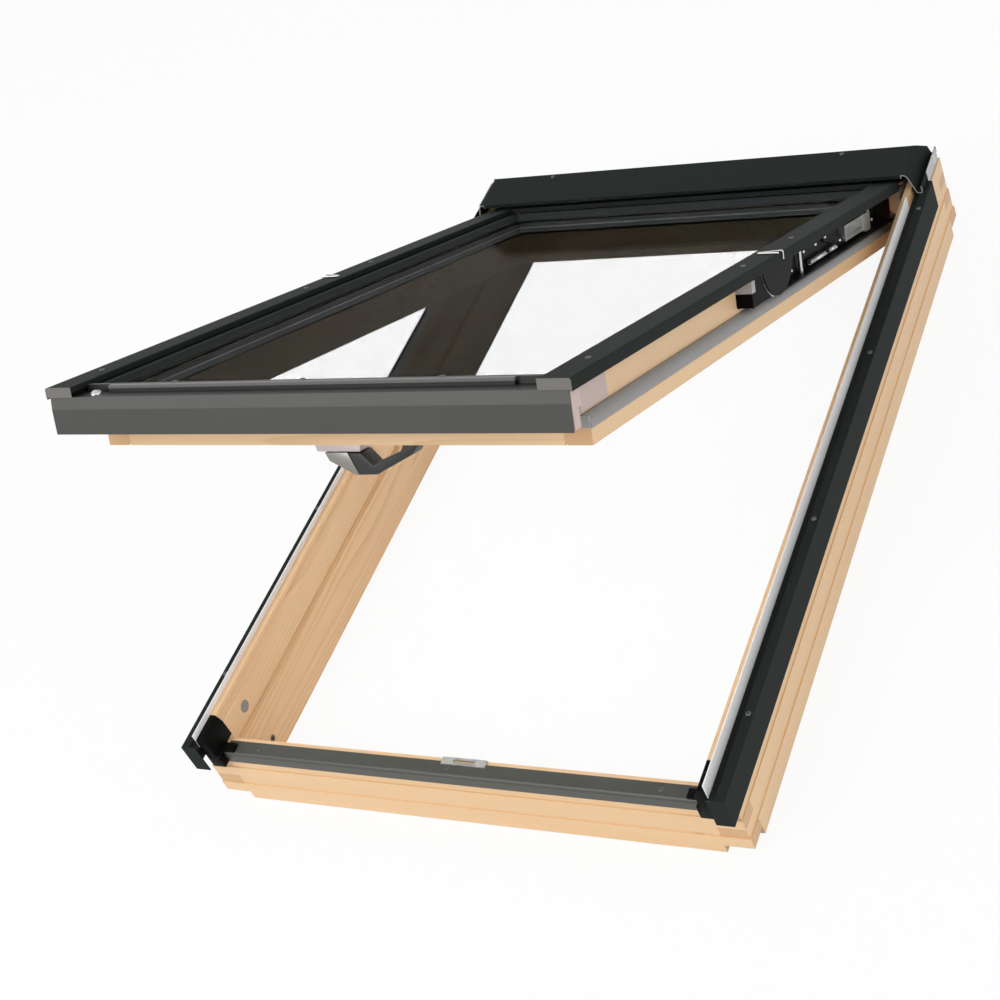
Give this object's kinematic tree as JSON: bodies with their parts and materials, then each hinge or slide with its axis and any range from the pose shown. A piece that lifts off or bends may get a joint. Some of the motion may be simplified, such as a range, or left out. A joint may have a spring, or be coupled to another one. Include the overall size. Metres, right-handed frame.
{
  "type": "roof skylight",
  "caption": "Timber-framed top-hung and centre-pivot roof window, propped open, with metal cladding, double glazing, side arms and a turning handle.",
  "frame": {"origin": "middle of the window's width and length, on the plane of the frame's underside", "axes": "+X across the window to the right seen from the foot, +Y up the slope towards the hinge, +Z out through the roof"},
  "size_m": [0.7824, 1.1994, 0.681],
  "materials": {
    "pine": "clear lacquered pine",
    "coated_metal": "satin anthracite coating",
    "grey_extrusion": "satin light grey",
    "pale_rail": "off-white coating",
    "black_moulding": "matt black",
    "grey_plastic": "grey",
    "galvanised": "galvanised",
    "bare_plate": "mill finish",
    "black_steel": "black",
    "bright_steel": "zinc plated",
    "screw_steel": "dark zinc",
    "grey_seal": "light grey",
    "black_seal": "black",
    "glass": "clear",
    "spacer": "mill finish",
    "handle_metal": "satin silver"
  },
  "bodies": {
    "frame": {"corner_block_left": "black_moulding", "corner_block_right": "black_moulding", "frame_bottom_rail": "pine", "frame_jamb_left": "pine", "frame_jamb_right": "pine", "frame_rail_cover": "coated_metal", "frame_screws": "screw_steel", "frame_side_cover_left": "coated_metal", "frame_side_cover_right": "coated_metal", "frame_top_rail": "pine", "frame_upstand_left": "pale_rail", "frame_upstand_right": "pale_rail", "hinge_bracket_left": "galvanised", "hinge_bracket_right": "galvanised", "hood": "coated_metal", "hood_brackets": "galvanised", "jamb_bushings": "grey_plastic", "jamb_plugs": "grey_plastic", "striker_plate": "galvanised"},
    "arms": {"arm_links": "black_steel", "arm_rivets": "bright_steel", "arm_slider_left": "bright_steel", "arm_slider_right": "bright_steel", "arm_springs": "bright_steel", "head_cover": "coated_metal", "side_arm_left": "black_steel", "side_arm_right": "black_steel", "upper_cover_screws": "screw_steel", "upper_side_cover_left": "coated_metal", "upper_side_cover_right": "coated_metal"},
    "sash": {"apron": "coated_metal", "bottom_bar": "grey_extrusion", "cover_clips": "bright_steel", "drain_screw": "bright_steel", "edge_seal": "black_seal", "end_plate_left": "bare_plate", "end_plate_right": "bare_plate", "handle_housing": "handle_metal", "inner_pane": "glass", "outer_pane": "glass", "pivot_cups": "bright_steel", "pivot_foot_left": "black_moulding", "pivot_foot_right": "black_moulding", "pivot_rib_plates": "black_steel", "sash_bottom_rail": "pine", "sash_front_seal": "grey_seal", "sash_head_rail": "pine", "sash_screws": "screw_steel", "sash_seal_left": "grey_seal", "sash_seal_right": "grey_seal", "sash_side_cover_left": "coated_metal", "sash_side_cover_right": "coated_metal", "sash_stile_left": "pine", "sash_stile_right": "pine", "side_bead_left": "coated_metal", "side_bead_right": "coated_metal", "spacer_frame": "spacer", "top_bead": "coated_metal"},
    "lever": {"handle_grip": "black_moulding", "handle_lever": "handle_metal"}
  },
  "joints": [
    {"name": "top_hinge", "type": "hinge", "parent": "frame", "child": "arms", "pos_m": [0, 0.51975, 0.133], "axis": [-1, 0, 0], "range_deg": [-28.1, 6.9]},
    {"name": "centre_pivot", "type": "hinge", "parent": "arms", "child": "sash", "pos_m": [0, 0.06835, 0.3916], "axis": [-1, 0, 0], "range_deg": [0, 115]},
    {"name": "handle_turn", "type": "hinge", "parent": "sash", "child": "lever", "pos_m": [-0.019, -0.43482, 0.5384], "axis": [0, 0.471, 0.8821], "range_deg": [0, 90]}
  ]
}
